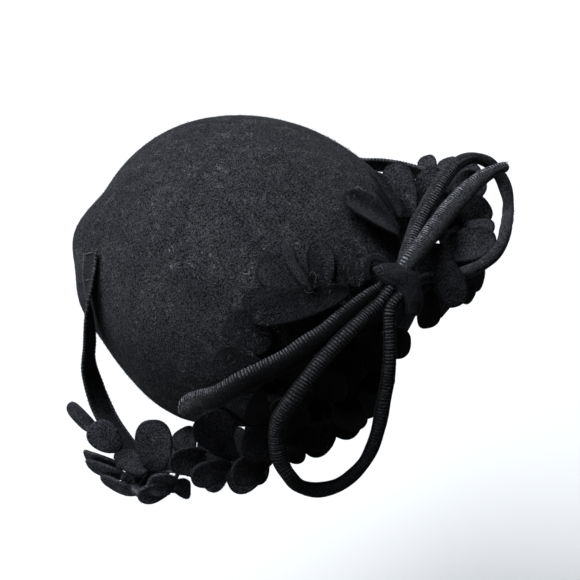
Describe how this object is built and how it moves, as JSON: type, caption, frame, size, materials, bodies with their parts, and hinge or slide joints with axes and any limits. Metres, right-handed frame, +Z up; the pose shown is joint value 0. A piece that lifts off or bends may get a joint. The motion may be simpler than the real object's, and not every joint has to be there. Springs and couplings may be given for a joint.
{
  "type": "cocktail hat",
  "caption": "Brimless felt cocktail hat: hollow skull cap, narrow felt band strap with round felt petals, and a bow of rolled felt cord with leaf-like petals.",
  "frame": {"origin": "inner apex of the crown, where the top of a head meets the felt", "axes": "+X towards the wearer's left, -Y towards the front of the hat (forehead side, bow and petals), +Z up through the crown; the head comes in from -Z"},
  "size_m": [0.2552, 0.2255, 0.1292],
  "materials": {
    "crown_felt": "blocked black wool felt, fuzzy nap",
    "band_felt": "black wool felt strip, stitched edges",
    "petal_felt": "black wool felt, cut edges",
    "cord_felt": "black felt rolled round a cord, whip-stitched",
    "knot_felt": "black wool felt strip, smooth wrap",
    "stitch_thread": "dark grey sewing thread"
  },
  "bodies": {
    "root": {"band": "band_felt", "band_petal_01": "petal_felt", "band_petal_02": "petal_felt", "band_petal_03": "petal_felt", "band_petal_04": "petal_felt", "band_petal_05": "petal_felt", "band_petal_06": "petal_felt", "band_petal_07": "petal_felt", "band_petal_08": "petal_felt", "band_petal_09": "petal_felt", "band_petal_10": "petal_felt", "band_petal_11": "petal_felt", "band_petal_12": "petal_felt", "band_petal_13": "petal_felt", "band_petal_14": "petal_felt", "band_petal_15": "petal_felt", "band_petal_16": "petal_felt", "band_petal_17": "petal_felt", "band_petal_18": "petal_felt", "band_petal_19": "petal_felt", "band_sprig_01": "petal_felt", "band_sprig_02": "petal_felt", "band_sprig_03": "petal_felt", "band_sprig_04": "petal_felt", "band_sprig_05": "petal_felt", "band_sprig_06": "petal_felt", "band_sprig_07": "petal_felt", "band_sprig_08": "petal_felt", "band_sprig_09": "petal_felt", "band_sprig_10": "petal_felt", "band_sprig_11": "petal_felt", "band_sprig_12": "petal_felt", "bow_knot": "knot_felt", "bow_loop_big": "cord_felt", "bow_loop_side": "cord_felt", "bow_tail_left": "cord_felt", "bow_tail_right": "cord_felt", "crown": "crown_felt", "crown_petal_01": "petal_felt", "crown_petal_02": "petal_felt", "crown_petal_03": "petal_felt", "crown_petal_04": "petal_felt", "crown_petal_05": "petal_felt", "crown_petal_06": "petal_felt", "crown_petal_07": "petal_felt", "crown_petal_08": "petal_felt", "crown_petal_09": "petal_felt", "crown_sprig_01": "petal_felt", "crown_sprig_02": "petal_felt", "crown_sprig_03": "petal_felt", "crown_sprig_04": "petal_felt"}
  },
  "joints": []
}
